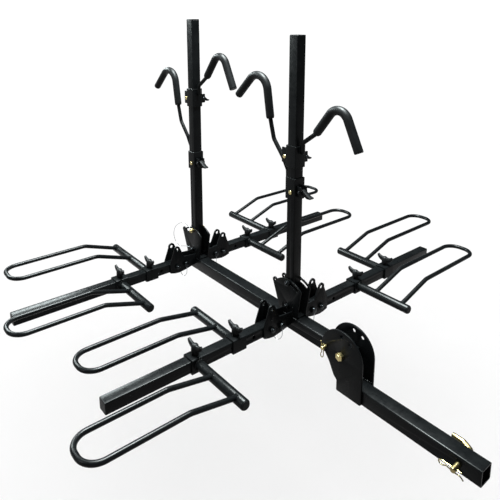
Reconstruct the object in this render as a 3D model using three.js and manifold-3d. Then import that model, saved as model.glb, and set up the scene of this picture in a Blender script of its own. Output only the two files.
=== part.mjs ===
// Four-bike platform rack for a 50.8 mm (2 in) hitch receiver.
// Frame: millimetres, +Z up. The origin is the centre of the hitch-pin hole on
// the axis of the shank; +Y runs rearwards along the rack, away from the
// vehicle, and +X runs along the wheel arms.
import * as THREE from "three";
import { mergeVertices } from "three/addons/utils/BufferGeometryUtils.js";
import Module from "manifold-3d";

const wasm = await Module();
wasm.setup();

// ---- driving dimensions -------------------------------------------------
const GAP = 0.4; // running gap between neighbouring pieces
const SHANK = 50.8; // receiver shank and spine, square
const SHANK_WALL = 4.8;
const SHANK_FRONT = -63.5; // shank's vehicle end
const SHANK_REAR = 421;
const HITCH_PIN = 15.9;

const SPINE_Z = 103; // height of the spine's axis over the shank's axis
const SPINE_FRONT = 373;
const SPINE_REAR = 1302;
const SPINE_WALL = 3.2;
const STATIONS = { near: 655, far: 1255 };

const TILT = { y: 402, z: 106 }; // spine's hinge
const TILT_LOCK_R = 66; // hole circle of the support pin
const TILT_PLATE_R = 84;
const TILT_PLATE_T = 6;
const TILT_BOLT = 16;
const LOCK_PIN = 12.7;

const TUBE = 38.1; // mast and arms, square
const TUBE_WALL = 2.6;
const PLATE_T = 5; // station bracket plates
const PLATE_IN = TUBE / 2 + 0.5; // inner face of a bracket plate from the tube's axis
const PLATE_OUT = PLATE_IN + PLATE_T;

const MAST_BOTTOM = SPINE_Z + 40;
const MAST_TOPS = { near: SPINE_Z + 992, far: SPINE_Z + 1040 };
const MAST_HINGE_Z = SPINE_Z + 62;
const MAST_LOCK_R = 86;
const MAST_BOLT = 10;
const MAST_TIP = 30; // degrees that a mast tips
const TAB_R = 11; // rounded tab on the bracket's cheeks
const TAB_HOLE = 9;

const ARM_Z = SPINE_Z + 18;
const ARM_INNER = 62;
const ARM_OUTER = { near_left: 712, near_right: 815, far_left: 778, far_right: 778 };
const ARM_HINGE_X = 120;
const ARM_LOCK_X = 78;
const ARM_STOW_R = 75;
const EAR_R = 15; // rounded top of the arm brackets
const ARM_BOLT = 12;

const BAR_D = 32; // round cross bar of a wheel holder
const HOOP_D = 16;
// bar's end and the hoop's two legs, from the arm's axis
const SHORT_BAR = { end: 248, inner: 99, outer: 213 };
const LONG_BAR = { end: 325, inner: 158, outer: 288 };
const HOOP_BEND = 155;
const SLEEVE_IN = TUBE / 2 + 0.5;
const SLEEVE_OUT = SLEEVE_IN + 5;
const SLEEVE_LEN = 54;

const KNOB_WING_T = 11;

const HOOK_ROD = 15;
const GRIP_D = 29;
const CARRIAGE_IN = TUBE / 2 + 0.4;
const CARRIAGE_OUT = CARRIAGE_IN + 4;
const CARRIAGE_H = 74;
// cheeks on a carriage, opposite its hook: reach, lower and upper edge
const FRONT_CHEEK = [28, -28, 24];
const REAR_CHEEK = [20, -24, 12];

// where each wheel holder is clamped (x) and to which side its bar points
// and how far its hoop reaches out and rises
const HOLDERS = {
  near: {
    left_outer: [-413, -1, SHORT_BAR, 434, 38], left_inner: [-257, 1, SHORT_BAR, 462, 38],
    right_inner: [343, -1, SHORT_BAR, 520, 56], right_outer: [531, 1, SHORT_BAR, 520, 56],
  },
  far: {
    left_outer: [-371, -1, SHORT_BAR, 462, 56], left_inner: [-239, 1, LONG_BAR, 490, 62],
    right_inner: [280, -1, SHORT_BAR, 520, 62], right_outer: [430, 1, LONG_BAR, 520, 62],
  },
};
// heights of the hook carriages over the spine's axis
const HOOKS = { near: { front: 600, rear: 490 }, far: { front: 728, rear: 462 } };

// ---- solids -------------------------------------------------------------
const rad = (d) => (d * Math.PI) / 180;

function solid(geometry) {
  const g = geometry.index ? geometry.toNonIndexed() : geometry.clone();
  for (const k of Object.keys(g.attributes)) if (k !== "position") g.deleteAttribute(k);
  const m = mergeVertices(g, 1e-4);
  const mesh = new wasm.Mesh({
    numProp: 3,
    vertProperties: new Float32Array(m.attributes.position.array),
    triVerts: new Uint32Array(m.index.array),
  });
  return new wasm.Manifold(mesh);
}
function geometryOf(man) {
  const mesh = man.getMesh();
  const g = new THREE.BufferGeometry();
  const n = mesh.numProp;
  const count = mesh.vertProperties.length / n;
  const pos = new Float32Array(count * 3);
  for (let i = 0; i < count; i++) for (let k = 0; k < 3; k++) pos[3 * i + k] = mesh.vertProperties[n * i + k];
  g.setAttribute("position", new THREE.BufferAttribute(pos, 3));
  g.setIndex(new THREE.BufferAttribute(new Uint32Array(mesh.triVerts), 1));
  g.computeVertexNormals();
  return g;
}
const join = (list) => list.reduce((a, b) => a.add(b));
const cut = (body, list) => list.reduce((a, b) => a.subtract(b), body);

function box(x0, x1, y0, y1, z0, z1) {
  const g = new THREE.BoxGeometry(x1 - x0, y1 - y0, z1 - z0);
  g.translate((x0 + x1) / 2, (y0 + y1) / 2, (z0 + z1) / 2);
  return solid(g);
}
// round bar between two values of one axis, through (u, v) on the other two:
// "x" through (y, z), "y" through (x, z), "z" through (x, y)
function rod(axis, u, v, from, to, d, sides = 16, turn = 0) {
  const g = new THREE.CylinderGeometry(d / 2, d / 2, to - from, sides);
  if (turn) g.rotateY(turn);
  const mid = (from + to) / 2;
  if (axis === "x") { g.rotateZ(-Math.PI / 2); g.translate(mid, u, v); }
  if (axis === "y") g.translate(u, mid, v);
  if (axis === "z") { g.rotateX(Math.PI / 2); g.translate(u, v, mid); }
  return solid(g);
}
// plate with outline [(a, b)...] normal to an axis, from..to along it:
// "x": (a, b) = (y, z); "y": (a, b) = (x, z); "z": (a, b) = (x, y)
function plate(axis, outline, from, to, holes = []) {
  const shape = new THREE.Shape(outline.map(([a, b]) => new THREE.Vector2(a, b)));
  for (const h of holes) shape.holes.push(new THREE.Path(h.map(([a, b]) => new THREE.Vector2(a, b))));
  const g = new THREE.ExtrudeGeometry(shape, { depth: to - from, bevelEnabled: false, curveSegments: 8 });
  g.translate(0, 0, from);
  const m = new THREE.Matrix4();
  if (axis === "x") m.set(0, 0, 1, 0, 1, 0, 0, 0, 0, 1, 0, 0, 0, 0, 0, 1);
  if (axis === "y") m.set(1, 0, 0, 0, 0, 0, -1, 0, 0, 1, 0, 0, 0, 0, 0, 1);
  g.applyMatrix4(m);
  if (axis === "y") g.translate(0, from + to, 0);
  return solid(g);
}
function arc(cu, cv, r, a0, a1, n) {
  const out = [];
  for (let i = 0; i <= n; i++) {
    const a = rad(a0 + ((a1 - a0) * i) / n);
    out.push([cu + r * Math.cos(a), cv + r * Math.sin(a)]);
  }
  return out;
}
const ring = (cu, cv, r, n = 16) => arc(cu, cv, r, 0, 360 - 360 / n, n - 1);
function roundedSquare(half, r, n = 3) {
  const c = half - r;
  return [
    ...arc(c, c, r, 0, 90, n), ...arc(-c, c, r, 90, 180, n),
    ...arc(-c, -c, r, 180, 270, n), ...arc(c, -c, r, 270, 360, n),
  ];
}
// hollow square tube along an axis, centred on (u, v)
function squareTube(axis, u, v, from, to, size, wall, corner) {
  const shift = (pts) => pts.map(([a, b]) => [a + u, b + v]);
  return plate(axis, shift(roundedSquare(size / 2, corner)), from, to, [
    shift(roundedSquare(size / 2 - wall, Math.max(corner - wall, 0.8), 1)).reverse(),
  ]);
}
// annular sector slot
function sector(cu, cv, r0, r1, a0, a1, n) {
  return [...arc(cu, cv, r1, a0, a1, n), ...arc(cu, cv, r0, a1, a0, n)];
}

// a rod bent along listed corners, each corner rounded to its radius
class BentPath extends THREE.Curve {
  constructor(points) { super(); this.points = points; this.steps = points.length - 1; }
  getPoint(t, target = new THREE.Vector3()) {
    const i = Math.min(this.steps, Math.max(0, Math.round(t * this.steps)));
    return target.copy(this.points[i]);
  }
  getPointAt(t, target) { return this.getPoint(t, target); }
  getTangent(t, target = new THREE.Vector3()) {
    const i = Math.min(this.steps, Math.max(0, Math.round(t * this.steps)));
    const p = this.points;
    const a = i > 0 ? p[i].clone().sub(p[i - 1]).normalize() : null;
    const b = i < this.steps ? p[i + 1].clone().sub(p[i]).normalize() : null;
    if (a && b) target.copy(a).add(b); else target.copy(a || b);
    return target.normalize();
  }
  getTangentAt(t, target) { return this.getTangent(t, target); }
}
function rounded(corners, segments = 4) {
  const pts = corners.map(([x, y, z]) => new THREE.Vector3(x, y, z));
  const out = [pts[0]];
  for (let i = 1; i < pts.length - 1; i++) {
    const r = corners[i][3] || 0;
    const p = pts[i];
    const u = pts[i - 1].clone().sub(p).normalize();
    const v = pts[i + 1].clone().sub(p).normalize();
    if (!r) {
      out.push(p);
      continue;
    }
    const half = Math.acos(THREE.MathUtils.clamp(u.dot(v), -1, 1)) / 2;
    const t = r / Math.tan(half);
    const centre = p.clone().add(u.clone().add(v).normalize().multiplyScalar(r / Math.sin(half)));
    const a = p.clone().addScaledVector(u, t).sub(centre);
    const b = p.clone().addScaledVector(v, t).sub(centre);
    const angle = a.angleTo(b);
    for (let k = 0; k <= segments; k++) {
      const f = k / segments;
      const w = a.clone().multiplyScalar(Math.sin((1 - f) * angle) / Math.sin(angle))
        .addScaledVector(b, Math.sin(f * angle) / Math.sin(angle));
      out.push(centre.clone().add(w));
    }
  }
  out.push(pts[pts.length - 1]);
  return out;
}
function sweep(points, d, sides = 8) {
  const shape = new THREE.Shape(ring(0, 0, d / 2, sides).map(([a, b]) => new THREE.Vector2(a, b)));
  const path = new BentPath(points);
  return solid(new THREE.ExtrudeGeometry(shape, {
    steps: path.steps, extrudePath: path, bevelEnabled: false,
  }));
}
const hexHead = (axis, u, v, from, to, flats) => rod(axis, u, v, from, to, flats / Math.cos(Math.PI / 6), 6);

// ---- materials ----------------------------------------------------------
const black = () => new THREE.MeshStandardMaterial({ color: 0x0b0c0d, roughness: 0.38, metalness: 0.25 });
const rubber = () => new THREE.MeshStandardMaterial({ color: 0x0d0d0e, roughness: 0.62, metalness: 0 });
const plastic = () => new THREE.MeshStandardMaterial({ color: 0x101112, roughness: 0.55, metalness: 0 });
const zinc = () => new THREE.MeshStandardMaterial({ color: 0xc2a24a, roughness: 0.32, metalness: 0.9 });
const blackZinc = () => new THREE.MeshStandardMaterial({ color: 0x2c2e30, roughness: 0.35, metalness: 0.9 });

const group = new THREE.Group();
function add(name, man, material) {
  const mesh = new THREE.Mesh(geometryOf(man), material);
  mesh.name = name;
  group.add(mesh);
  return mesh;
}

// ---- receiver shank -----------------------------------------------------
add("receiver_shank", cut(
  squareTube("y", 0, 0, SHANK_FRONT, SHANK_REAR, SHANK, SHANK_WALL, 5),
  [rod("x", 0, 0, -40, 40, HITCH_PIN + 0.8, 20)],
), black());

// two upright plates on the shank's rear end carry the spine's hinge
const plateX0 = SHANK / 2 + GAP;
const plateX1 = plateX0 + TILT_PLATE_T;
const tiltOutline = [
  [322, -25], [414, -25], [417, -22], [417, 11], [430, 23], [451, 62], [474, 92],
  ...arc(TILT.y, TILT.z, TILT_PLATE_R, 4, 176, 24),
  [318, 96], [318, -21],
];
const lockHole = (deg) => {
  const y = TILT.y + TILT_LOCK_R * Math.cos(rad(deg));
  const z = TILT.z + TILT_LOCK_R * Math.sin(rad(deg));
  return ring(y, z, LOCK_PIN / 2 + 0.35, 14).reverse();
};
const tiltHoles = [
  ring(TILT.y, TILT.z, TILT_BOLT / 2 + 0.4, 16).reverse(),
  lockHole(0), lockHole(90), lockHole(122),
];
add("hinge_plate_left", plate("x", tiltOutline, -plateX1, -plateX0, tiltHoles), black());
add("hinge_plate_right", plate("x", tiltOutline, plateX0, plateX1, tiltHoles), black());

const throughBolt = (axis, u, v, half, d, flats) => join([
  rod(axis, u, v, -half - 14, half + 12, d, 16),
  hexHead(axis, u, v, half + GAP, half + GAP + flats * 0.42, flats),
  hexHead(axis, u, v, -half - GAP - flats * 0.5, -half - GAP, flats),
]);
add("spine_hinge_bolt", throughBolt("x", TILT.y, TILT.z, plateX1, TILT_BOLT, 24), zinc());

// ---- pins on the shank --------------------------------------------------
add("hitch_pin", cut(join([
  sweep(rounded([[-53, 0, 0], [44, 0, 0, 14], [58, 30, 0, 10], [58, 62, 0]], 4), HITCH_PIN, 14),
  rod("x", 0, 0, 26, 30, 26, 16),
]), [rod("y", -44, 0, -20, 20, 4.6, 10)]), zinc());

// spring clip: a straight leg through the pin and a waved leg round it
function clip(px, py, pz, pinR, w, size, up) {
  // leg 1 runs along Y through the cross hole at (px, pz);
  // leg 2 bows round the pin, above it (up = 1) or below (up = -1)
  const s = size;
  const pts = rounded([
    [px, py - 20 * s, pz], [px, py + 34 * s, pz, 5 * s], [px, py + 44 * s, pz + up * 7 * s, 5 * s],
    [px, py + 34 * s, pz + up * 14 * s, 5 * s], [px, py + 20 * s, pz + up * (7 * s + pinR * 0.3), 5 * s],
    [px, py, pz + up * (pinR + w + 3), 7 * s], [px, py - 14 * s, pz + up * (pinR + w + 1), 4 * s],
    [px, py - 26 * s, pz + up * (pinR + w + 6 * s)],
  ], 3);
  return sweep(pts, w, 6);
}
add("hitch_clip", clip(-44, 0, 0, HITCH_PIN / 2, 3.6, 1, -1), zinc());

const lockY = TILT.y + TILT_LOCK_R;
add("spine_support_pin", cut(join([
  rod("x", lockY, TILT.z, -plateX1 - 17, plateX1 + 4, LOCK_PIN, 16),
  rod("x", lockY, TILT.z, plateX1 + GAP, plateX1 + 8, 24, 16),
]), [rod("z", -plateX1 - 9, lockY, TILT.z - 20, TILT.z + 20, 3.8, 10)]), zinc());
function clipDown(px, py, pz, pinR, w, s) {
  // the same clip hanging down through a vertical cross hole
  const pts = rounded([
    [px, py, pz + 14 * s], [px, py, pz - 32 * s, 5 * s], [px, py + 7 * s, pz - 42 * s, 5 * s],
    [px, py + 14 * s, pz - 32 * s, 5 * s], [px, py + 7 * s + pinR * 0.3, pz - 19 * s, 5 * s],
    [px, py + pinR + w + 3, pz, 6 * s], [px, py + pinR + w + 1, pz + 12 * s, 4 * s],
    [px, py + pinR + w + 5 * s, pz + 20 * s],
  ], 3);
  return sweep(pts, w, 6);
}
add("support_pin_clip", clipDown(-plateX1 - 9, lockY, TILT.z, LOCK_PIN / 2, 3, 0.9), zinc());

// ---- spine --------------------------------------------------------------
// open slot that lets the spine lift off its support pin
const pinSlot = sector(
  TILT.y, TILT.z, TILT_LOCK_R - LOCK_PIN / 2 - 0.5, TILT_LOCK_R + LOCK_PIN / 2 + 0.5, -42, 0, 8,
);
add("spine", cut(
  squareTube("y", 0, SPINE_Z, SPINE_FRONT, SPINE_REAR, SHANK, SPINE_WALL, 5),
  [
    rod("x", TILT.y, TILT.z, -40, 40, TILT_BOLT + 0.8, 18),
    plate("x", pinSlot, -40, 40),
    rod("x", lockY, TILT.z, -40, 40, LOCK_PIN + 1, 18),
  ],
), black());

// side view of a clamping knob's two upturned wings
function knobWing(Y, z) {
  const half = [[12, 4], [29, 12], [36, 31], [28, 35], [19, 22]];
  return [
    ...half.map(([y, h]) => [Y + y, z + h]),
    ...half.slice().reverse().map(([y, h]) => [Y - y, z + h]),
  ];
}

// ---- stations: bracket, mast, arms --------------------------------------
const SIDES = { left: -1, right: 1 };
function station(which) {
  const Y = STATIONS[which];
  const top = SPINE_Z + SHANK / 2 + GAP;

  const leansForward = which === "near"; // the near mast tips towards the vehicle, the far one away from it
  const tabY = Y + MAST_LOCK_R * 0.8;
  const tabZ = MAST_HINGE_Z + MAST_LOCK_R * 0.82;

  // fan-shaped cheeks either side of the mast, with an arc slot for its clamp bolt
  // and a drilled tab to the rear
  const fan = [
    [Y - 44, top], [Y + 44, top], [Y + 46, top + 20],
    ...arc(tabY, tabZ, TAB_R, -40, 140, 7),
    ...arc(Y, MAST_HINGE_Z, MAST_LOCK_R + 12, 64, 130, 6),
    [Y - 46, top + 20],
  ];
  const slotR = MAST_BOLT / 2 + 0.5;
  const slotFrom = 90 - (leansForward ? 4 : MAST_TIP + 4);
  const slotTo = 90 + (leansForward ? MAST_TIP + 4 : 4);
  const slot = [
    ...arc(Y, MAST_HINGE_Z, MAST_LOCK_R + slotR, slotFrom, slotTo, 8),
    ...arc(Y, MAST_HINGE_Z, MAST_LOCK_R - slotR, slotTo, slotFrom, 8),
  ].reverse();
  const pivotHole = ring(Y, MAST_HINGE_Z, MAST_BOLT / 2 + 0.4, 14).reverse();
  const tabHole = ring(tabY, tabZ, TAB_HOLE / 2, 12).reverse();
  const parts = [box(-PLATE_OUT, PLATE_OUT, Y - 44, Y + 44, top, top + 5)];
  for (const s of [-1, 1]) {
    const [a, b] = s < 0 ? [-PLATE_OUT, -PLATE_IN] : [PLATE_IN, PLATE_OUT];
    parts.push(plate("x", fan, a, b, [slot, pivotHole, tabHole]));
  }
  // ears that carry the arms: two plates each side, with an upper hole to pin the arm upright
  for (const s of [-1, 1]) {
    const flip = (pts) => (s < 0 ? pts.map(([x, z]) => [-x, z]).reverse() : pts);
    const outline = flip([
      [PLATE_IN + 1, ARM_Z - 12], [ARM_LOCK_X + 4, ARM_Z - 26], [ARM_HINGE_X - 8, ARM_Z - 30],
      [ARM_HINGE_X + 12, ARM_Z - 28], [ARM_HINGE_X + 33, ARM_Z - 22], [ARM_HINGE_X + 35, ARM_Z + 18],
      ...arc(ARM_HINGE_X, ARM_Z + ARM_STOW_R, EAR_R, -12, 155, 9),
      [ARM_HINGE_X - 34, ARM_Z + 36], [PLATE_IN + 1, ARM_Z + 30],
    ]);
    const holes = [
      ring(ARM_HINGE_X, ARM_Z, ARM_BOLT / 2 + 0.4, 14),
      ring(ARM_HINGE_X, ARM_Z + ARM_STOW_R, LOCK_PIN / 2 + 0.35, 14),
      ring(ARM_LOCK_X, ARM_Z, LOCK_PIN / 2 + 0.35, 14),
    ].map((h) => (s < 0 ? h.map(([x, z]) => [-x, z]) : h.slice().reverse()));
    for (const t of [-1, 1]) {
      const [a, b] = t < 0 ? [Y - PLATE_OUT, Y - PLATE_IN] : [Y + PLATE_IN, Y + PLATE_OUT];
      parts.push(plate("y", outline, a, b, holes));
    }
    // cross strip under the arm
    const sx0 = ARM_HINGE_X + 21.5;
    const sx1 = ARM_HINGE_X + 32;
    const [x0, x1] = s > 0 ? [sx0, sx1] : [-sx1, -sx0];
    const under = ARM_Z - TUBE / 2 - GAP;
    parts.push(box(x0, x1, Y - PLATE_IN - 1, Y + PLATE_IN + 1, under - 3.5, under));
  }
  // keep the brackets clear of the spine's sides
  const clear = box(-SHANK / 2 - GAP, SHANK / 2 + GAP, Y - 80, Y + 80, SPINE_Z - 60, top);
  add(`${which}_bracket`, cut(join(parts), [clear]), black());

  // mast
  add(`${which}_mast`, cut(
    squareTube("z", 0, Y, MAST_BOTTOM, MAST_TOPS[which], TUBE, TUBE_WALL, 3.2),
    [
      rod("x", Y, MAST_HINGE_Z, -40, 40, MAST_BOLT + 0.8, 14),
      rod("x", Y, MAST_HINGE_Z + MAST_LOCK_R, -40, 40, MAST_BOLT + 0.6, 14),
    ],
  ), black());
  const inner = TUBE / 2 - TUBE_WALL - GAP;
  const mastTop = MAST_TOPS[which];
  const capOutline = roundedSquare(TUBE / 2 - 0.2, 3).map(([a, b]) => [a, b + Y]);
  add(`${which}_mast_cap`, join([
    plate("z", capOutline, mastTop + 0.3, mastTop + 4.5),
    box(-inner, inner, Y - inner, Y + inner, mastTop - 16, mastTop + 1),
  ]), plastic());
  add(`${which}_mast_hinge_bolt`, throughBolt("x", Y, MAST_HINGE_Z, PLATE_OUT, MAST_BOLT, 16), blackZinc());
  add(`${which}_mast_clamp_bolt`, throughBolt("x", Y, MAST_HINGE_Z + MAST_LOCK_R, PLATE_OUT, MAST_BOLT, 17),
    leansForward ? blackZinc() : zinc());

  // arms
  for (const [side, s] of Object.entries(SIDES)) {
    const mx = (a, b) => (s > 0 ? [a, b] : [-b, -a]);
    const [x0, x1] = mx(ARM_INNER, ARM_OUTER[`${which}_${side}`]);
    const hx = s * ARM_HINGE_X;
    // open slot that lets the arm lift off its pin
    const pinR = ARM_HINGE_X - ARM_LOCK_X;
    const [slotLow, slotHigh] = s > 0 ? [132, 180] : [0, 48];
    const armSlot = sector(
      hx, ARM_Z, pinR - LOCK_PIN / 2 - 0.5, pinR + LOCK_PIN / 2 + 0.5, slotLow, slotHigh, 8,
    );
    add(`${which}_${side}_arm`, cut(
      squareTube("x", Y, ARM_Z, x0, x1, TUBE, TUBE_WALL, 3.2),
      [
        rod("y", hx, ARM_Z, Y - 40, Y + 40, ARM_BOLT + 0.8, 14),
        rod("y", s * ARM_LOCK_X, ARM_Z, Y - 40, Y + 40, LOCK_PIN + 1, 14),
        plate("y", armSlot, Y - 40, Y + 40),
        rod("y", s * (ARM_HINGE_X + ARM_STOW_R), ARM_Z, Y - 40, Y + 40, LOCK_PIN + 0.7, 14),
      ],
    ), black());
    const b = join([
      rod("y", hx, ARM_Z, Y - PLATE_OUT - 11, Y + PLATE_OUT + 13, ARM_BOLT, 14),
      hexHead("y", hx, ARM_Z, Y - PLATE_OUT - GAP - 7.5, Y - PLATE_OUT - GAP, 18),
      hexHead("y", hx, ARM_Z, Y + PLATE_OUT + GAP, Y + PLATE_OUT + GAP + 9, 18),
    ]);
    add(`${which}_${side}_arm_hinge_bolt`, b, blackZinc());
    const px = s * ARM_LOCK_X;
    const pin = join([
      rod("y", px, ARM_Z, Y - PLATE_OUT - 4, Y + PLATE_OUT + 12, LOCK_PIN, 16),
      rod("y", px, ARM_Z, Y - PLATE_OUT - 10, Y - PLATE_OUT - GAP, 22, 16),
    ]);
    add(`${which}_${side}_arm_pin`, pin, blackZinc());
  }

  // wheel holders
  for (const [spot, [x, out, bar, reach, rise]] of Object.entries(HOLDERS[which])) {
    const dir = Math.sign(x); // hoops reach outwards, away from the mast
    const half = SLEEVE_LEN / 2;
    const ya = Y + out * bar.inner;
    const yb = Y + out * bar.outer;
    const zr = ARM_Z + 7;
    const zt = ARM_Z + rise;
    const xb = x + dir * HOOP_BEND;
    const xe = x + dir * reach;
    const hoop = sweep(rounded([
      [x, ya, zr], [xb, ya, zt, 70], [xe, ya, zt, 50], [xe, yb, zt, 50], [xb, yb, zt, 70], [x, yb, zr],
    ], 4), HOOP_D, 8);
    const [b0, b1] = out > 0 ? [Y + SLEEVE_IN + 1.5, Y + bar.end] : [Y - bar.end, Y - SLEEVE_IN - 1.5];
    const frame = cut(join([
      box(x - half, x + half, Y - SLEEVE_OUT, Y + SLEEVE_OUT, ARM_Z - SLEEVE_OUT, ARM_Z + SLEEVE_OUT),
      box(x - 11, x + 11, Y - 11, Y + 11, ARM_Z + SLEEVE_OUT - 1, ARM_Z + SLEEVE_OUT + 8),
    ]), [
      box(x - half - 1, x + half + 1, Y - SLEEVE_IN, Y + SLEEVE_IN, ARM_Z - SLEEVE_IN, ARM_Z + SLEEVE_IN),
      rod("z", x, Y, ARM_Z + 15, ARM_Z + SLEEVE_OUT + 20, 10.8, 14),
    ]);
    add(`${which}_${spot}_holder`, join([frame, rod("y", x, ARM_Z, b0, b1, BAR_D, 16), hoop]), black());
    const kz = ARM_Z + SLEEVE_OUT + 8 + GAP;
    add(`${which}_${spot}_knob`, join([
      rod("z", x, Y, ARM_Z + TUBE / 2 + 0.3, kz + 4, 10, 12),
      rod("z", x, Y, kz, kz + 14, 26, 12),
      plate("x", knobWing(Y, kz), x - KNOB_WING_T / 2, x + KNOB_WING_T / 2),
    ]), plastic());
  }

  // hooks: a carriage on the mast, a bent rod, a rubber grip and a ratchet lever
  for (const [side, zc] of Object.entries(HOOKS[which])) {
    const z = SPINE_Z + zc;
    const s = side === "front" ? -1 : 1; // front hook reaches towards the vehicle
    const P = (y, dz, r) => [0, Y + s * y, z + dz, r];
    // grip: out over the frame tube and down again; core: the rod from the carriage into the grip
    const gripPts = side === "front"
      ? [P(92, 91), P(188, 212, 42), P(264, 60)]
      : [P(127, 218), P(160, 418, 54), P(304, 281)];
    const core = side === "front"
      ? [P(30, 14), P(34, 50, 12), P(92, 91, 40), P(188, 212, 42), P(254, 80)]
      : [
        P(25, 10), P(34, 20, 8), P(35, 54, 20), P(58, 92, 30),
        P(108, 150, 36), P(127, 218, 60), P(160, 418, 54), P(290, 294.3),
      ];
    const corePts = rounded(core, 4);
    // cheeks opposite the hook; the rear hook's ratchet lever turns between them,
    // and the rear hook's rod passes between those of the carriage above it
    const L = -s;
    const ys = (a, b) => (L > 0 ? [Y + a, Y + b] : [Y - b, Y - a]);
    const [cheekReach, cheekLow, cheekHigh] = side === "front" ? FRONT_CHEEK : REAR_CHEEK;
    const cheek = ys(CARRIAGE_OUT - 1, CARRIAGE_OUT + cheekReach);
    const lug = [
      box(-15, -9, ...cheek, z + cheekLow, z + cheekHigh),
      box(9, 15, ...cheek, z + cheekLow, z + cheekHigh),
    ];
    if (side === "front") {
      // the front hook's lever is on the +X side, clear of the rear hook's rod
      lug.push(box(CARRIAGE_OUT - 1, CARRIAGE_OUT + 20, Y - 15, Y - 9, z - 24, z + 12));
      lug.push(box(CARRIAGE_OUT - 1, CARRIAGE_OUT + 20, Y + 9, Y + 15, z - 24, z + 12));
    }
    const [z0, z1] = [z - CARRIAGE_H / 2, z + CARRIAGE_H / 2];
    const carriage = join([
      box(-CARRIAGE_OUT, CARRIAGE_OUT, Y - CARRIAGE_OUT, Y + CARRIAGE_OUT, z0, z1),
      ...lug,
    ]);
    const web = side === "front"
      ? box(-5, 5, Y - CARRIAGE_OUT - 16, Y - CARRIAGE_OUT + 1, z + 12, z + 36)
      : box(-5, 5, Y + CARRIAGE_OUT - 1, Y + CARRIAGE_OUT + 16, z - 12, z + 30);
    const hook = join([carriage, web, sweep(corePts, HOOK_ROD, 10)]);
    const holeless = cut(hook, [
      box(-CARRIAGE_IN, CARRIAGE_IN, Y - CARRIAGE_IN, Y + CARRIAGE_IN, z - CARRIAGE_H, z + CARRIAGE_H),
    ]);
    add(`${which}_${side}_hook`, holeless, black());
    const grip = cut(sweep(rounded(gripPts, 5), GRIP_D, 12), [sweep(corePts, HOOK_ROD + 0.9, 10)]);
    add(`${which}_${side}_grip`, grip, rubber());
    // lever: pawl between the cheeks and a finger blade
    const bladeAt = (a, dz) => [a, z - 6 + dz];
    const blade = side === "front"
      ? [[9, -7], [18, -8], [34, -14], [44, -13], [46, -9], [36, -6], [24, 5], [14, 8], [8, 6]]
      : [[9, -7], [18, -8], [40, -17], [55, -16], [58, -11], [44, -8], [24, 5], [14, 8], [8, 6]];
    const lever = side === "front"
      ? [
        rod("y", CARRIAGE_OUT + 12, z - 6, Y - 8.4, Y + 8.4, 15, 12),
        plate("y", blade.map(([a, dz]) => bladeAt(CARRIAGE_OUT + a, dz)), Y - 8.4, Y + 8.4),
      ]
      : [
        rod("x", Y - CARRIAGE_OUT - 12, z - 6, -8.4, 8.4, 15, 12),
        plate("x", blade.map(([a, dz]) => bladeAt(Y - CARRIAGE_OUT - a, dz)).reverse(), -8.4, 8.4),
      ];
    add(`${which}_${side}_lever`, join(lever), black());
  }
}
station("near");
station("far");

export default group;
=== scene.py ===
import math

import bmesh
import bpy
import numpy as np
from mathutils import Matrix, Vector


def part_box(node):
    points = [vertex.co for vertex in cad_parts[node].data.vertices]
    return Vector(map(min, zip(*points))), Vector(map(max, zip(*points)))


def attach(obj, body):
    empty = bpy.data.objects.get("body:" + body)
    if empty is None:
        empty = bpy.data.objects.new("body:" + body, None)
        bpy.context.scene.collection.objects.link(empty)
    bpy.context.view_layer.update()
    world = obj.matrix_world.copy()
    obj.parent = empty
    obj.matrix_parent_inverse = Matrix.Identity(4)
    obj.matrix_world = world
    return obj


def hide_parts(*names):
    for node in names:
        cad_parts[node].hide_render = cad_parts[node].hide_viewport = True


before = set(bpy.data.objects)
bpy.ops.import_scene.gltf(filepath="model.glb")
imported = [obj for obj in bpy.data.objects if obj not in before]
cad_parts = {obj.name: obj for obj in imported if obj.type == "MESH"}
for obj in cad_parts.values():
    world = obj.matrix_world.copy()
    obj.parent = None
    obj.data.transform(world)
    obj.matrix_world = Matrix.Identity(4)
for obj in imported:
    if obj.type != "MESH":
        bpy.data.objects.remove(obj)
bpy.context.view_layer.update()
MM = 0.001
ROUND = 32  # sides of a round bar

# ------------------------------------------------------------- measures, mm
# +Y runs rearwards along the spine, +X along the arms and +Z up
SPINE_Z, ARM_Z = 103.0, 121.0  # heights of the spine's axis and the arms'
STATION = {"near": 655.0, "far": 1255.0}  # the masts' places along the spine
SIDE = {"left": -1, "right": 1}
TUBE_HALF, SHANK_HALF = 19.05, 25.4  # half widths of the square tubes

SLEEVE_IN, SLEEVE_OUT, SLEEVE_LEN = 19.55, 24.55, 54.0
BAR_D, HOOP_D = 32.0, 16.0
BAR_PLUG = 3.2  # the bar's steel is shorter by this, to leave room for its plug
HOOP_BEND = 155  # from the bar out to the hoop's first bend
HOOP_BEND_R, HOOP_END_R = 70, 50
HOOP_ROOT = 7  # the hoop's legs meet the bar this far over its axis
# how far the bar ends, and the hoop's two legs lie, from the arm's axis
SHORT = (248.0, 99.0, 213.0)
LONG = (325.0, 158.0, 288.0)
# place on the arm, side that the bar points to, bar, and the hoop's reach and rise
HOLDERS = {
    "near": {
        "left_outer": (-413, -1, SHORT, 434, 38), "left_inner": (-257, 1, SHORT, 462, 38),
        "right_inner": (343, -1, SHORT, 520, 56), "right_outer": (531, 1, SHORT, 520, 56),
    },
    "far": {
        "left_outer": (-371, -1, SHORT, 462, 56), "left_inner": (-239, 1, LONG, 490, 62),
        "right_inner": (280, -1, SHORT, 520, 62), "right_outer": (430, 1, LONG, 520, 62),
    },
}

CARRIAGE_IN, CARRIAGE_OUT, CARRIAGE_H = 19.45, 23.45, 74.0
HOOK_D, GRIP_D = 15.0, 29.0
# heights of the hook carriages over the spine's axis
HOOKS = {"near": {"front": 600.0, "rear": 490.0}, "far": {"front": 728.0, "rear": 462.0}}

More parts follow.
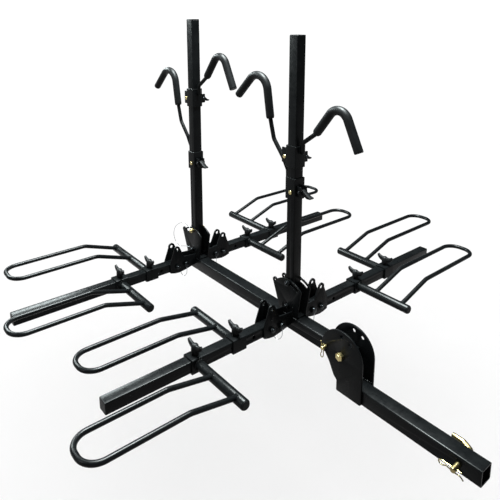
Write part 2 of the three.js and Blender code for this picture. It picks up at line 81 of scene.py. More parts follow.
HITCH_PIN_R, SUPPORT_PIN_R = 7.95, 6.35
ARM_LOCK_X = 78.0  # from the spine out to the arms' lock pins
SUPPORT_PIN = (468.0, 106.0)  # y and z of the spine's support pin
FLOOR_Z = -0.45  # metres


# ---------------------------------------------------------------- materials
class Nodes:
    """A material and the few node recipes that the finishes are made of."""

    def __init__(self, name):
        self.mat = bpy.data.materials.new(name)
        self.mat.use_nodes = True
        self.tree = self.mat.node_tree
        self.shader = next(n for n in self.tree.nodes if n.type == "BSDF_PRINCIPLED")
        self.coord = self.add("ShaderNodeTexCoord").outputs["Object"]

    def add(self, kind, **values):
        n = self.tree.nodes.new(kind)
        for key, value in values.items():
            n.inputs[key].default_value = value
        return n

    def link(self, a, b):
        self.tree.links.new(a, b)

    def noise(self, scale, detail=3.0, rough=0.55, distort=0.0):
        n = self.add("ShaderNodeTexNoise", Scale=scale, Detail=detail, Roughness=rough, Distortion=distort)
        self.link(self.coord, n.inputs["Vector"])
        return n.outputs["Fac"]

    def ramp(self, fac, *stops):
        node = self.add("ShaderNodeValToRGB")
        r = node.color_ramp
        while len(r.elements) < len(stops):
            r.elements.new(0.5)
        for e, (pos, col) in zip(r.elements, stops):
            e.position = pos
            e.color = (*col, 1.0) if isinstance(col, tuple) else (col, col, col, 1.0)
        self.link(fac, node.inputs["Fac"])
        return node.outputs["Color"]

    def colour(self, fac, *stops):
        self.link(self.ramp(fac, *stops), self.shader.inputs["Base Color"])

    def roughness(self, fac, *stops):
        self.link(self.ramp(fac, *stops), self.shader.inputs["Roughness"])

    def set(self, **values):
        for key, value in values.items():
            self.shader.inputs[key.replace("_", " ")].default_value = value

    def bump(self, height, strength, distance, before=None):
        b = self.add("ShaderNodeBump", Strength=strength, Distance=distance)
        self.link(height, b.inputs["Height"])
        if before:
            self.link(before, b.inputs["Normal"])
        self.link(b.outputs["Normal"], self.shader.inputs["Normal"])
        return b.outputs["Normal"]


def powder_coat(name, smooth, scuffed):
    """Glossy black powder coat with a faint orange peel."""
    m = Nodes(name)
    m.set(Metallic=0.0, IOR=1.5, Specular_IOR_Level=0.05)
    m.colour(m.noise(14.0, 4.0), (0.3, (0.0006, 0.0007, 0.0008)), (0.75, (0.0016, 0.0018, 0.0019)))
    m.roughness(m.noise(55.0, 6.0, 0.7, 0.4), (0.35, smooth), (0.7, scuffed))
    peel = m.bump(m.noise(260.0, 2.0), 0.16, 0.0006)
    m.bump(m.noise(420.0, 2.0), 0.10, 0.0002, peel)
    return m.mat


def rubber(name):
    m = Nodes(name)
    m.set(Metallic=0.0, IOR=1.5, Specular_IOR_Level=0.055)
    m.colour(m.noise(22.0, 3.0), (0.3, (0.0012, 0.0013, 0.0014)), (0.8, (0.0028, 0.0031, 0.0033)))
    m.roughness(m.noise(70.0, 5.0, 0.65), (0.3, 0.36), (0.75, 0.50))
    grain = m.bump(m.noise(900.0, 3.0), 0.22, 0.0003)
    m.bump(m.noise(60.0, 2.0), 0.10, 0.0012, grain)
    return m.mat


def plastic(name):
    m = Nodes(name)
    m.set(Metallic=0.0, IOR=1.49, Specular_IOR_Level=0.06)
    m.colour(m.noise(30.0, 3.0), (0.3, (0.0012, 0.0013, 0.0014)), (0.8, (0.0026, 0.0028, 0.0030)))
    m.roughness(m.noise(120.0, 4.0), (0.3, 0.38), (0.75, 0.52))
    pebble = m.add("ShaderNodeTexVoronoi", Scale=1500.0)
    m.link(m.coord, pebble.inputs["Vector"])
    m.bump(pebble.outputs["Distance"], 0.15, 0.0002)
    return m.mat


def yellow_zinc(name, shade=1.0):
    """Yellow passivated zinc with patches of gold, green and red; shade dims them all."""
    m = Nodes(name)
    m.set(Metallic=1.0)
    patches = (
        (0.25, (0.40, 0.27, 0.09)), (0.45, (0.46, 0.36, 0.17)),
        (0.6, (0.34, 0.31, 0.16)), (0.78, (0.40, 0.24, 0.12)),
    )
    m.colour(m.noise(95.0, 5.0, 0.6, 1.2), *((pos, tuple(shade * c for c in col)) for pos, col in patches))
    m.roughness(m.noise(240.0, 5.0, 0.7), (0.3, 0.20), (0.75, 0.38))
    m.bump(m.noise(700.0, 4.0), 0.12, 0.0002)
    return m.mat


def black_zinc(name):
    m = Nodes(name)
    m.set(Metallic=1.0)
    m.colour(m.noise(80.0, 4.0), (0.3, (0.010, 0.011, 0.012)), (0.75, (0.024, 0.026, 0.028)))
    m.roughness(m.noise(260.0, 5.0, 0.7), (0.3, 0.24), (0.75, 0.42))
    m.bump(m.noise(600.0, 3.0), 0.12, 0.0002)
    return m.mat


def steel_wire(name):
    m = Nodes(name)
    m.set(Metallic=1.0)
    m.colour(m.noise(60.0, 4.0), (0.3, (0.20, 0.21, 0.22)), (0.75, (0.34, 0.36, 0.37)))
    m.roughness(m.noise(300.0, 4.0), (0.3, 0.22), (0.75, 0.36))
    m.bump(m.noise(800.0, 2.0), 0.08, 0.0001)
    return m.mat


COAT = powder_coat("powder_coat", 0.26, 0.40)
COAT_BAR = powder_coat("powder_coat_bars", 0.24, 0.36)
RUBBER = rubber("sleeve_rubber")
PLASTIC = plastic("moulded_plastic")
ZINC = yellow_zinc("zinc_yellow_plating")
WIRE = steel_wire("spring_wire")
BLACK_ZINC = black_zinc("zinc_black_plating")
ZINC_WIRE = yellow_zinc("zinc_yellow_wire", 0.45)

# ----------------------------------------------------------- mesh-code tools
AXIS = {"x": Vector((1, 0, 0)), "y": Vector((0, 1, 0)), "z": Vector((0, 0, 1))}


def mesh_object(name, bm, mat, body, sharp=38.0):
    """Turn a bmesh into a piece that rides on a body."""
    bmesh.ops.recalc_face_normals(bm, faces=bm.faces)
    me = bpy.data.meshes.new(name)
    bm.to_mesh(me)
    bm.free()
    me.materials.append(mat)
    for p in me.polygons:
        p.use_smooth = True
    me.set_sharp_from_angle(angle=math.radians(sharp))
    o = bpy.data.objects.new(name, me)
    bpy.context.scene.collection.objects.link(o)
    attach(o, body)
    return o


def round_path(corners, segments=10):
    """Corners (x, y, z[, radius]) in mm; each is rounded to its radius."""
    pts = [Vector(c[:3]) for c in corners]
    out = [pts[0]]
    for i in range(1, len(pts) - 1):
        r = corners[i][3] if len(corners[i]) > 3 else 0
        p = pts[i]
        if not r:
            out.append(p)
            continue
        u, v = (pts[i - 1] - p).normalized(), (pts[i + 1] - p).normalized()
        half = u.angle(v) / 2
        centre = p + (u + v).normalized() * (r / math.sin(half))
        a = p + u * (r / math.tan(half)) - centre
        b = p + v * (r / math.tan(half)) - centre
        turn = a.angle(b)
        for k in range(segments + 1):
            f = k / segments
            start_share = math.sin((1 - f) * turn) / math.sin(turn)
            end_share = math.sin(f * turn) / math.sin(turn)
            out.append(centre + a * start_share + b * end_share)
    out.append(pts[-1])
    return out


def smooth_path(points, n):
    """A Catmull-Rom curve through points (mm), in n steps from each to the next."""
    pts = [Vector(p) for p in points]
    pts = [pts[0] * 2 - pts[1]] + pts + [pts[-1] * 2 - pts[-2]]
    out = []
    for a, b, c, d in zip(pts, pts[1:], pts[2:], pts[3:]):
        for k in range(n):
            t = k / n
            square = (2 * a - 5 * b + 4 * c - d) * t * t
            cube = (3 * b - a - 3 * c + d) * t ** 3
            out.append(0.5 * ((2 * b) + (c - a) * t + square + cube))
    out.append(pts[-2])
    return out


def resample(path, step):
    """Points along a path no further apart than step."""
    out = [path[0]]
    for a, b in zip(path, path[1:]):
        n = max(1, int(math.ceil((b - a).length / step)))
        out += [a.lerp(b, k / n) for k in range(1, n + 1)]
    return out


def skin(bm, rings):
    """Quads between neighbouring rings of vertices."""
    n = len(rings[0])
    for a, b in zip(rings, rings[1:]):
        for k in range(n):
            bm.faces.new((a[k], a[(k + 1) % n], b[(k + 1) % n], b[k]))


def capped_skin(bm, rings):
    """The same with a face over each end."""
    skin(bm, rings)
    bm.faces.new(rings[0][::-1])
    bm.faces.new(rings[-1])


def round_ring(bm, centre, u, v, r, sides):
    """Vertices on a circle, in mm, in the plane of u and v."""
    angles = (2 * math.pi * k / sides for k in range(sides))
    return [bm.verts.new((centre + (u * math.cos(a) + v * math.sin(a)) * r) * MM) for a in angles]


def sweep(bm, path, radius, sides=None, dome=0.0, start_dome=0.0):
    """A round tube along path (mm) with flat or domed ends.

    radius is a number or a function of the share of the length.
    """
    sides = sides or ROUND
    path = [Vector(p) for p in path]
    radius_at = radius if callable(radius) else lambda share: radius
    lengths = [0.0]
    for a, b in zip(path, path[1:]):
        lengths.append(lengths[-1] + (b - a).length)
    steps = [(b - a).normalized() for a, b in zip(path, path[1:])]
    tangents = [(a + b).normalized() for a, b in zip(steps[:1] + steps, steps + steps[-1:])]
    first, last = tangents[0], tangents[-1]
    ref = AXIS["z"] if abs(first.z) < 0.9 else AXIS["x"]
    side = first.cross(ref).normalized()
    rings = []

    def ring(centre, t, r):
        nonlocal side
        side = (side - t * side.dot(t)).normalized()
        rings.append(round_ring(bm, centre, side, t.cross(side), r, sides))

    dome_angles = np.linspace(0.25, 1.35, 5)
    if start_dome:
        for a in dome_angles[::-1]:
            ring(path[0] - first * start_dome * math.sin(a), first, radius_at(0.0) * math.cos(a))
    for p, t, length in zip(path, tangents, lengths):
        ring(p, t, radius_at(length / lengths[-1]))
    if dome:
        for a in dome_angles:
            ring(path[-1] + last * dome * math.sin(a), last, radius_at(1.0) * math.cos(a))
    capped_skin(bm, rings)


def around(axis):
    """Two directions square to an axis."""
    u = AXIS["y"] if axis == "x" else AXIS["x"]
    return u, AXIS[axis].cross(u)


def lathe(bm, profile, centre, axis, sides=None):
    """profile: (distance along the axis, radius) in mm, about centre."""
    sides = sides or ROUND
    u, v = around(axis)
    start = Vector(centre)
    capped_skin(bm, [round_ring(bm, start + AXIS[axis] * t, u, v, r, sides) for t, r in profile])


def block(bm, lo, hi, edge):
    """A box between two corners in mm, its edges rounded."""
    part = bmesh.new()
    bmesh.ops.create_cube(part, size=1.0)
    size = Vector(hi) - Vector(lo)
    mid = (Vector(hi) + Vector(lo)) / 2
    for v in part.verts:
        v.co = Vector((v.co.x * size.x, v.co.y * size.y, v.co.z * size.z)) * MM + mid * MM
    bmesh.ops.bevel(part, geom=part.edges[:], offset=edge * MM, segments=3, profile=0.5, affect="EDGES")
    me = bpy.data.meshes.new("block")
    part.to_mesh(me)
    part.free()
    bm.from_mesh(me)
    bpy.data.meshes.remove(me)


def square_ring(bm, axis, centre, t, half, r, n=6):
    """Vertices on a rounded square, t mm along an axis from centre."""
    place = {"x": lambda a, b: (t, a, b), "y": lambda a, b: (a, t, b), "z": lambda a, b: (a, b, t)}[axis]
    out = []
    for k, (sx, sy) in enumerate(((1, 1), (-1, 1), (-1, -1), (1, -1))):
        for i in range(n + 1):
            angle = math.radians(90 * k + 90 * i / n)
            a = sx * (half - r) + r * math.cos(angle)
            b = sy * (half - r) + r * math.sin(angle)
            out.append(bm.verts.new((Vector(centre) + Vector(place(a, b))) * MM))
    return out


def square_sleeve(bm, axis, centre, length, outer, inner, r_out, r_in, lip=0.8):
    """A hollow square sleeve whose mouths have a small lead-in."""
    h = length / 2
    section = (
        (-h, inner + lip, r_in + lip), (-h, outer - lip, r_out), (-h + lip, outer, r_out),
        (h - lip, outer, r_out), (h, outer - lip, r_out), (h, inner + lip, r_in + lip),
        (h - lip, inner, r_in), (-h + lip, inner, r_in),
    )
    rings = [square_ring(bm, axis, centre, *at) for at in section]
    skin(bm, rings + rings[:1])


def bead(bm, path, r, seed):
    """A weld bead: a low rope of overlapping ripples along a path (mm)."""
    pts = resample([Vector(p) for p in path], 1.1)
    n = len(pts)

    def ripple(share):
        short_wave = 0.13 * math.sin(share * n * 0.9 + seed)
        long_wave = 0.07 * math.sin(share * n * 0.37 + 2 * seed)
        return r * (1 + short_wave + long_wave)

    sweep(bm, pts, ripple, sides=8, dome=1.0, start_dome=1.0)


def hex_head(bm, centre, axis, height, flats, sign):
    """Hex head with a chamfered top and a washer face."""
    out = AXIS[axis] * sign
    u = around(axis)[0]
    v = out.cross(u)
    points = 24
    corner = flats / 2 / math.cos(math.pi / 6)

    def ring(t, reach, six):
        verts = []
        for k in range(points):
            a = 2 * math.pi * k / points
            flat = flats / 2 / max(math.cos((a % (math.pi / 3)) - math.pi / 6), 0.5)
            r = min(flat, reach) if six else reach
            spoke = (u * math.cos(a) + v * math.sin(a)) * r
            verts.append(bm.verts.new((Vector(centre) + out * t + spoke) * MM))
        return verts

    capped_skin(bm, [
        ring(0, flats * 0.52, False), ring(0.8, flats * 0.52, False),
        ring(0.85, corner, True), ring(height - 1.2, corner, True),
        ring(height - 0.5, flats * 0.515, True), ring(height, flats * 0.46, False),
    ])


# ------------------------------------------------------- carried-over CAD nodes
def dress(name, mat, bevel, angle=34.0):
    """Give a CAD node its finish, and round its edges by bevel mm."""
    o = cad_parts[name]
    o.data.materials.clear()
    o.data.materials.append(mat)
    for p in o.data.polygons:
        p.use_smooth = True
    w = o.modifiers.new("weld", "WELD")
    w.merge_threshold = 2e-6
    b = o.modifiers.new("bevel", "BEVEL")
    b.width = bevel * MM
    b.segments = 3
    b.limit_method = "ANGLE"
    b.angle_limit = math.radians(angle)
    b.harden_normals = True
    b.miter_outer = "MITER_ARC"


for n in ("receiver_shank", "spine"):
    dress(n, COAT, 0.8)
for n in ("hinge_plate_left", "hinge_plate_right", "near_bracket", "far_bracket"):
    dress(n, COAT, 0.7)
for w in STATION:
    dress(f"{w}_mast", COAT, 0.6)
    dress(f"{w}_mast_hinge_bolt", BLACK_ZINC, 0.5)
    dress(f"{w}_mast_clamp_bolt", BLACK_ZINC if w == "near" else ZINC, 0.5)
    for side in SIDE:
        dress(f"{w}_{side}_arm", COAT_BAR, 0.6)
        dress(f"{w}_{side}_arm_hinge_bolt", BLACK_ZINC, 0.5)
        dress(f"{w}_{side}_arm_pin", BLACK_ZINC, 0.7)
    for s in HOOKS[w]:
        dress(f"{w}_{s}_lever", PLASTIC, 1.2, 30.0)
dress("spine_hinge_bolt", ZINC, 0.6)
dress("spine_support_pin", ZINC, 0.6)


# ----------------------------------------------------------- wheel holders
def holder_welds(x, Y, out, d, legs):
    """Beads from the bar to the sleeve and from the hoop's legs to the bar."""
    bm = bmesh.new()
    foot = Y + out * (SLEEVE_OUT + 0.6)
    r = BAR_D / 2 + 1.2  # radius of the bead round the bar
    turn = np.linspace(0, 2 * math.pi, 40)
    bead(bm, [(x + r * math.cos(a), foot, ARM_Z + r * math.sin(a)) for a in turn], 2.0, seed=x % 7)
    toe = HOOP_D / 2 + 0.6  # radius of the bead round a leg
    for leg in legs:
        pts = []
        for a in np.linspace(0, 2 * math.pi, 26):
            # the bead follows the bar's round side and stays just under its crest
            z = min(HOOP_ROOT + 3.15 + toe * math.sin(a), 15.6)
            on_bar = math.sqrt(max((BAR_D / 2) ** 2 - z ** 2, 2.0))
            pts.append((x + d * on_bar, leg + toe * math.cos(a), ARM_Z + z))
        bead(bm, pts, 1.5, seed=leg % 5)
    return bm


def holder(w, spot, x, out, bar, reach, rise):
    """A sleeve on the arm, a round cross bar and the hoop for a wheel."""
    Y = STATION[w]
    d = -1 if x < 0 else 1
    end, leg_in, leg_out = bar
    body = f"{w}_{spot}_holder_body"
    bm = bmesh.new()
    square_sleeve(bm, "x", (x, Y, ARM_Z), SLEEVE_LEN, SLEEVE_OUT, SLEEVE_IN, 4.5, 2.4)
    # knob boss: a nut welded on the sleeve
    boss = [(0, 11.5), (0.6, 11.9), (7.0, 11.9), (8.0, 11.0), (8.0, 5.4)]
    lathe(bm, boss, (x, Y, ARM_Z + SLEEVE_OUT - 0.3), "z", 6)
    # cross bar, with a rolled edge at its end
    y0 = Y + out * (SLEEVE_OUT - 0.6)
    y1 = Y + out * (end - BAR_PLUG)
    L = abs(y1 - y0)
    rolled = [(0, BAR_D / 2), (L - 2.0, BAR_D / 2), (L - 0.6, BAR_D / 2 - 0.5), (L, BAR_D / 2 - 1.8)]
    lathe(bm, [(t * out, r) for t, r in rolled], (x, y0, ARM_Z), "y")
    ya, yb = Y + out * leg_in, Y + out * leg_out
    zr, zt = ARM_Z + HOOP_ROOT, ARM_Z + rise
    xb, xe = x + d * HOOP_BEND, x + d * reach
    hoop = round_path([
        (x, ya, zr), (xb, ya, zt, HOOP_BEND_R), (xe, ya, zt, HOOP_END_R),
        (xe, yb, zt, HOOP_END_R), (xb, yb, zt, HOOP_BEND_R), (x, yb, zr),
    ], 12)
    sweep(bm, hoop, HOOP_D / 2, 24)
    o = mesh_object(f"{w}_{spot}_holder_steel", bm, COAT_BAR, body)
    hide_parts(f"{w}_{spot}_holder")
    mesh_object(f"{w}_{spot}_holder_welds", holder_welds(x, Y, out, d, (ya, yb)), COAT, body)
    # plastic plug in the bar's open end
    bm = bmesh.new()
    plug = ((-1.5, 13.0), (0.2, 14.0), (1.6, 14.0), (2.6, 13.0), (3.0, 10.5), (2.7, 4.0))
    lathe(bm, [(t * out, r) for t, r in plug], (x, y1, ARM_Z), "y")
    mesh_object(f"{w}_{spot}_bar_plug", bm, PLASTIC, body)


def knob_wing(bm, x, Y, kz, s):
    """One wing of a knob, thick at the root and turned up at the tip."""
    # out from the hub, up from its foot, half width and half height
    stations = (
        (4, 15.0, 7.0, 11.5), (12, 16.0, 6.8, 11.0), (20, 18.0, 6.4, 10.2),
        (26, 21.5, 6.0, 8.8), (31.0, 26.0, 5.4, 6.6), (33.6, 31.0, 4.4, 3.4),
    )
    points = 16
    rings = []
    for dy, dz, half_w, half_h in stations:
        turn = max(0.0, min(0.75, (dz - 14) / 18))
        ring = []
        for k in range(points):
            a = 2 * math.pi * k / points
            ca = math.copysign(abs(math.cos(a)) ** 0.7, math.cos(a))
            sa = math.copysign(abs(math.sin(a)) ** 0.7, math.sin(a))
            y = Y + s * (dy - half_h * sa * turn)
            z = kz + dz + half_h * sa * (1 - 0.45 * turn)
            ring.append(bm.verts.new(Vector((x + half_w * ca * 0.9, y, z)) * MM))
        rings.append(ring)
    capped_skin(bm, rings)


def knob(w, spot, x):
    """A moulded clamping knob on its stud."""
    Y = STATION[w]
    kz = ARM_Z + SLEEVE_OUT + 8.4
    bm = bmesh.new()
    hub = [
        (0, 11.0), (0.6, 12.4), (4.0, 12.9), (14.0, 12.4),
        (21.0, 11.2), (25.5, 8.8), (27.8, 5.0), (28.4, 1.5),
    ]
    lathe(bm, hub, (x, Y, kz), "z")
    for s in (-1, 1):
        knob_wing(bm, x, Y, kz, s)
    o = mesh_object(f"{w}_{spot}_knob_moulding", bm, PLASTIC, f"{w}_{spot}_knob_body", 50)
    bm = bmesh.new()
    lathe(bm, [(0, 4.2), (1.0, 5.0), (14.0, 5.0)], (x, Y, ARM_Z + 19.4), "z", 24)
    mesh_object(f"{w}_{spot}_knob_stud", bm, ZINC, f"{w}_{spot}_knob_body")
    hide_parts(f"{w}_{spot}_knob")


for w, spots in HOLDERS.items():
    for spot, (x, out, bar, reach, rise) in spots.items():
        holder(w, spot, x, out, bar, reach, rise)
        knob(w, spot, x)


# ------------------------------------------------------------- frame hooks
def grip_radius(total):
    """The grip's radius along its length, drawn in at its mouth and rounded at its tip."""
    R = GRIP_D / 2
    mouth, tip = 9, 3

    def radius(share):
        from_mouth, from_tip = share * total, (1 - share) * total
        if from_tip < tip:
            return R - 1.0 * (1 - from_tip / tip) ** 2
        if from_mouth < mouth:
            return R - 2.6 * (1 - from_mouth / mouth) ** 2
        return R

    return radius


def hook_bolts(side, Y, z):
    """A yellow bolt on the carriage, and a black axle under the ratchet lever."""
    bolts, axle = bmesh.new(), bmesh.new()
    height = z - 6
    if side == "front":
        y = Y + CARRIAGE_OUT + 11
        hex_head(bolts, (-15.2, y, height), "x", 5.0, 13, -1)
        lathe(bolts, [(-15.5, 4.0), (15.5, 4.0)], (0, y, height), "x", 20)
        hex_head(bolts, (15.2, y, height), "x", 5.0, 13, 1)
        for sy in (-1, 1):
            hex_head(axle, (CARRIAGE_OUT + 12, Y + sy * 15.2, height), "y", 4.0, 10, sy)
    else:
        hex_head(bolts, (-CARRIAGE_OUT - 0.2, Y - 4, z - 12), "x", 4.5, 13, -1)
        for sx in (-1, 1):
            hex_head(axle, (sx * 15.2, Y - CARRIAGE_OUT - 12, height), "x", 4.0, 10, sx)
    return bolts, axle


def hook(w, side):
    """A carriage on the mast, a bent rod and its rubber grip."""
    Y = STATION[w]
    z = SPINE_Z + HOOKS[w][side]
    front = side == "front"
    s = -1 if front else 1  # the front hook reaches towards the vehicle
    body = f"{w}_{side}_hook_body"

    def P(y, dz, r=0):
        return (0, Y + s * y, z + dz, r)

    def cheek(lo, hi):
        block(bm, lo, hi, 1.2)

    bm = bmesh.new()
    square_sleeve(bm, "z", (0, Y, z), CARRIAGE_H, CARRIAGE_OUT, CARRIAGE_IN, 3.2, 1.6, 0.6)
    # cheeks on the side away from the hook
    reach, low, high = (28, -28, 24) if front else (20, -24, 12)
    ys = sorted((Y - s * (CARRIAGE_OUT - 1), Y - s * (CARRIAGE_OUT + reach)))
    cheek((-15, ys[0], z + low), (-9, ys[1], z + high))
    cheek((9, ys[0], z + low), (15, ys[1], z + high))
    if front:
        # cheeks for the lever, and the web that carries the rod
        cheek((CARRIAGE_OUT - 1, Y - 15, z - 24), (CARRIAGE_OUT + 20, Y - 9, z + 12))
        cheek((CARRIAGE_OUT - 1, Y + 9, z - 24), (CARRIAGE_OUT + 20, Y + 15, z + 12))
        cheek((-5, Y - CARRIAGE_OUT - 16, z + 12), (5, Y - CARRIAGE_OUT + 0.5, z + 36))
        rod = [P(33, 20), P(34, 50, 12), P(92, 91, 40), P(188, 212, 42), P(254, 80)]
        grip = [P(92, 91), P(188, 212, 42), P(264, 60)]
    else:
        cheek((-5, Y + CARRIAGE_OUT - 0.5, z - 12), (5, Y + CARRIAGE_OUT + 16, z + 30))
        rod = [
            P(27, 12), P(34, 20, 8), P(35, 54, 20), P(58, 92, 30),
            P(108, 150, 36), P(127, 218, 60), P(160, 418, 54), P(290, 294.3),
        ]
        grip = [P(127, 218), P(160, 418, 54), P(304, 281)]
    sweep(bm, round_path(rod, 12), HOOK_D / 2, 24, start_dome=3.0)
    o = mesh_object(f"{w}_{side}_hook_steel", bm, COAT, body)
    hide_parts(f"{w}_{side}_hook")

    bm = bmesh.new()
    pts = resample(round_path(grip, 18), 3.0)
    total = sum((b - a).length for a, b in zip(pts, pts[1:]))
    sweep(bm, pts, grip_radius(total))
    g = mesh_object(f"{w}_{side}_grip_sleeve", bm, RUBBER, body)
    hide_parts(f"{w}_{side}_grip")

    bolts, axle = hook_bolts(side, Y, z)
    mesh_object(f"{w}_{side}_hook_bolts", bolts, ZINC, body)
    mesh_object(f"{w}_{side}_lever_axle", axle, BLACK_ZINC, body)
    # welds between the web and the carriage
    bm = bmesh.new()
    y = Y + s * (CARRIAGE_OUT + 0.5)
    z0, z1 = (z + 14, z + 35) if front else (z - 10, z + 28)
    for sx in (-1, 1):
        bead(bm, [(sx * 5.6, y, z0), (sx * 5.6, y, z1)], 1.5, seed=sx)
    mesh_object(f"{w}_{side}_hook_welds", bm, COAT, body)


for w in HOOKS:
    for side in HOOKS[w]:
        hook(w, side)

# --------------------------------------------------------------- mast caps
# along the mast from the cap's top, half width and corner radius
MAST_CAP = (
    (-4.3, 18.2, 3.0), (-4.2, 18.8, 3.2), (-1.4, 18.85, 3.2), (-0.5, 18.4, 3.6),
    (-0.1, 17.2, 4.2), (0.0, 12.0, 5.0), (-0.2, 5.0, 3.0),
)
for w in STATION:
    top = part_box(f"{w}_mast_cap")[1].z / MM
    bm = bmesh.new()
    capped_skin(bm, [square_ring(bm, "z", (0, STATION[w], top), *at, n=8) for at in MAST_CAP])
    o = mesh_object(f"{w}_mast_top_cap", bm, PLASTIC, f"{w}_mast_body")
    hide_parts(f"{w}_mast_cap")


# ------------------------------------------------- end caps on arms and spine
def end_cap(name, axis, centre, sign, half, body):
    """A plastic cap pushed into a square tube, half its outer width."""
    profile = (
        (-6.0, half - 3.4, 1.8), (0.0, half - 3.4, 1.8), (0.05, half - 0.4, 3.0), (1.6, half - 0.4, 3.0),
        (2.4, half - 1.0, 3.2), (2.7, half - 2.6, 3.6), (2.5, half * 0.4, 2.5),
    )
    bm = bmesh.new()
    capped_skin(bm, [square_ring(bm, axis, centre, sign * t, h, r) for t, h, r in profile])
    mesh_object(name, bm, PLASTIC, body)


for w in STATION:
    for side, s in SIDE.items():
        lo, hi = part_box(f"{w}_{side}_arm")
        end = (lo.x if s < 0 else hi.x) / MM + s * 0.1
        arm = f"{w}_{side}_arm"
        end_cap(f"{arm}_end_cap", "x", (end, STATION[w], ARM_Z), s, TUBE_HALF, f"{arm}_body")
spine_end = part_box("spine")[1].y / MM + 0.1
end_cap("spine_end_cap", "y", (0, spine_end, SPINE_Z), 1, SHANK_HALF, "spine_body")

# ------------------------------------------------ pins, clips and wire bails
bm = bmesh.new()
# straight through the shank, then the bent handle, and a collar against the shank
pin = round_path([(-53, 0, 0), (44, 0, 0, 14), (58, 30, 0, 10), (58, 62, 0)], 12)
sweep(bm, pin, HITCH_PIN_R, dome=3.0, start_dome=3.0)
lathe(bm, [(26.2, 12.0), (26.6, 12.9), (29.4, 12.9), (30.0, 12.0)], (0, 0, 0), "x")
o = mesh_object("hitch_pin_bar", bm, ZINC_WIRE, "hitch_pin_body")
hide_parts("hitch_pin")


def hairpin(route, r):
    """Clip wire along a smooth route (mm)."""
    bm = bmesh.new()
    sweep(bm, smooth_path(route, 8), r, 14, dome=1.0, start_dome=1.0)
    return bm


x, low = -44.0, -HITCH_PIN_R  # the clip's place on the pin, and the pin's underside
# the straight leg goes through the pin, and the sprung leg comes back under it
o = mesh_object("hitch_clip_wire", hairpin([
    (x, -20, 0), (x, 6, 0), (x, 34, 0), (x, 42, -3), (x, 44.5, -8), (x, 40, -13), (x, 32, -13),
    (x, 24, -8.5), (x, 14, -9.5), (x, 0, low - 4.4), (x, -11, low - 3.4), (x, -19, low - 5.0),
    (x, -26, low - 11.0),
], 1.8), ZINC_WIRE, "hitch_clip_body")
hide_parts("hitch_clip")

lo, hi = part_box("support_pin_clip")
x = (lo.x + hi.x) / 2 / MM
y, z = SUPPORT_PIN
rear = y + SUPPORT_PIN_R  # the pin's rear side
o = mesh_object("support_clip_wire", hairpin([
    (x, y, z + 12), (x, y, z - 6), (x, y, z - 28), (x, y + 2.5, z - 36), (x, y + 7, z - 38.5),
    (x, y + 11.5, z - 35), (x, y + 11.5, z - 28), (x, y + 8, z - 20), (x, y + 9, z - 10),
    (x, rear + 4.0, z), (x, rear + 2.4, z + 10), (x, rear + 6.5, z + 18),
], 1.5), ZINC_WIRE, "support_clip_body")
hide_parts("support_pin_clip")


def bail(name, body, points, r):
    """A springy loop of thin wire."""
    bm = bmesh.new()
    sweep(bm, smooth_path(points, 10), r, 10, dome=0.8, start_dome=0.8)
    mesh_object(name, bm, WIRE, body)


for w, Y in STATION.items():
    for side, s in SIDE.items():
        x, z = s * ARM_LOCK_X, ARM_Z
        # from the lock pin's head, under the arm, and up to snap over its tip
        bail(f"{w}_{side}_arm_pin_bail", f"{w}_{side}_arm_pin_body", [
            (x, Y - 30.0, z - 5), (x, Y - 31.5, z - 22), (x, Y - 27, z - 44), (x, Y - 8, z - 62),
            (x, Y + 14, z - 60), (x, Y + 31, z - 42), (x, Y + 36, z - 20), (x, Y + 35, z - 9.0),
        ], 1.1)

Y = STATION["far"]
# from the far mast's clamp bolt out past the bracket's tab and back to the hinge bolt
bail("far_mast_lanyard", "far_mast_body", [
    (-31, Y - 2, 251), (-34, Y + 22, 268), (-37, Y + 70, 268), (-38, Y + 118, 236), (-38, Y + 136, 196),
    (-37, Y + 122, 162), (-36, Y + 88, 154), (-35, Y + 50, 164), (-34, Y + 28, 172), (-32, Y + 9, 171),
], 1.0)

# ------------------------------------------------------------- bracket welds
for w, Y in STATION.items():
    foot = SPINE_Z + SHANK_HALF + 0.4
    bm = bmesh.new()
    # along each cheek's foot, and up the corners between the cheek and the ears
    for sx in (-1, 1):
        bead(bm, [(sx * 25.3, Y - 43, foot + 1.0), (sx * 25.3, Y + 43, foot + 1.0)], 2.2, seed=sx)
        for sy in (-1, 1):
            x, y = sx * 25.6, Y + sy * 25.4
            bead(bm, [(x, y, foot + 6), (x, y, foot + 40)], 1.7, seed=sx + sy)
    mesh_object(f"{w}_bracket_welds", bm, COAT, "spine_body")
bm = bmesh.new()
# along the top of the shank, where the hinge plates meet it
for sx in (-1, 1):
    bead(bm, [(sx * 26.4, 324, 25.8), (sx * 26.4, 414, 25.8)], 2.4, seed=sx)
mesh_object("hinge_plate_welds", bm, COAT, "base")


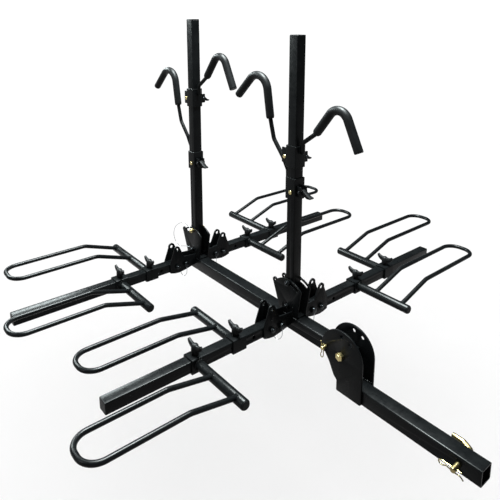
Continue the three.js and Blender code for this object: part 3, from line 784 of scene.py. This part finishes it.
# ------------------------------------------------------------ floor, lights
def make_floor(size, height, level):
    """A wide pale floor whose tone wavers a little about level."""
    bm = bmesh.new()
    bmesh.ops.create_grid(bm, x_segments=1, y_segments=1, size=size)
    me = bpy.data.meshes.new("floor")
    bm.to_mesh(me)
    bm.free()
    o = bpy.data.objects.new("floor", me)
    o.location = (0, 0, height)
    bpy.context.scene.collection.objects.link(o)
    m = Nodes("floor")
    m.set(Roughness=0.9, Specular_IOR_Level=0.0)
    m.colour(m.noise(2.0, 2.0), (0.2, level - 0.01), (0.8, level + 0.01))
    me.materials.append(m.mat)
    return o


floor = make_floor(60.0, FLOOR_Z, 0.90)
# the studio lights are aimed at the rack only; the floor takes the even light of the room
room_lit = bpy.data.collections.new("lit_by_the_room")
room_lit.objects.link(floor)
room_lit.collection_objects[0].light_linking.link_state = "EXCLUDE"

world = bpy.data.worlds.new("studio")
bpy.context.scene.world = world
world.use_nodes = True
bg = next(n for n in world.node_tree.nodes if n.type == "BACKGROUND")
bg.inputs["Color"].default_value = (1.0, 1.0, 1.0, 1.0)
bg.inputs["Strength"].default_value = 1.16
# the room lights the floor; the gloss on the rack comes from the studio lights and the floor
world.cycles_visibility.glossy = False


def soft_light(name, place, target, size, power, tint=(1, 1, 1)):
    data = bpy.data.lights.new(name, "AREA")
    data.shape = "RECTANGLE"
    data.size, data.size_y = size
    data.energy = power
    data.color = tint
    o = bpy.data.objects.new(name, data)
    o.location = place
    o.rotation_euler = (Vector(target) - Vector(place)).to_track_quat("-Z", "Y").to_euler()
    bpy.context.scene.collection.objects.link(o)
    o.light_linking.receiver_collection = room_lit


soft_light("key_back_left", (-0.9, 4.6, 2.6), (-0.2, 0.9, 0.1), (2.6, 1.0), 550, (0.90, 1.0, 1.0))
soft_light("overhead", (0.0, 1.0, 3.2), (0.0, 0.9, 0.1), (1.3, 1.3), 1500, (0.92, 1.0, 1.0))
soft_light("left_rim", (-3.4, 1.2, 2.0), (0.0, 0.9, 0.3), (0.8, 2.0), 50)

# ------------------------------------------------------------------ camera
cam = bpy.data.cameras.new("camera")
cam.sensor_width = 36.0
cam.lens = 37.918
cam.shift_y = -0.239
cam.clip_end = 200.0
eye = bpy.data.objects.new("camera", cam)
eye.location = (-1.1939, -0.5586, 1.1493)
eye.rotation_euler = (math.radians(78.0), 0.0, math.radians(-39.43))
bpy.context.scene.collection.objects.link(eye)
bpy.context.scene.camera = eye
bpy.context.scene.view_settings.view_transform = "Standard"
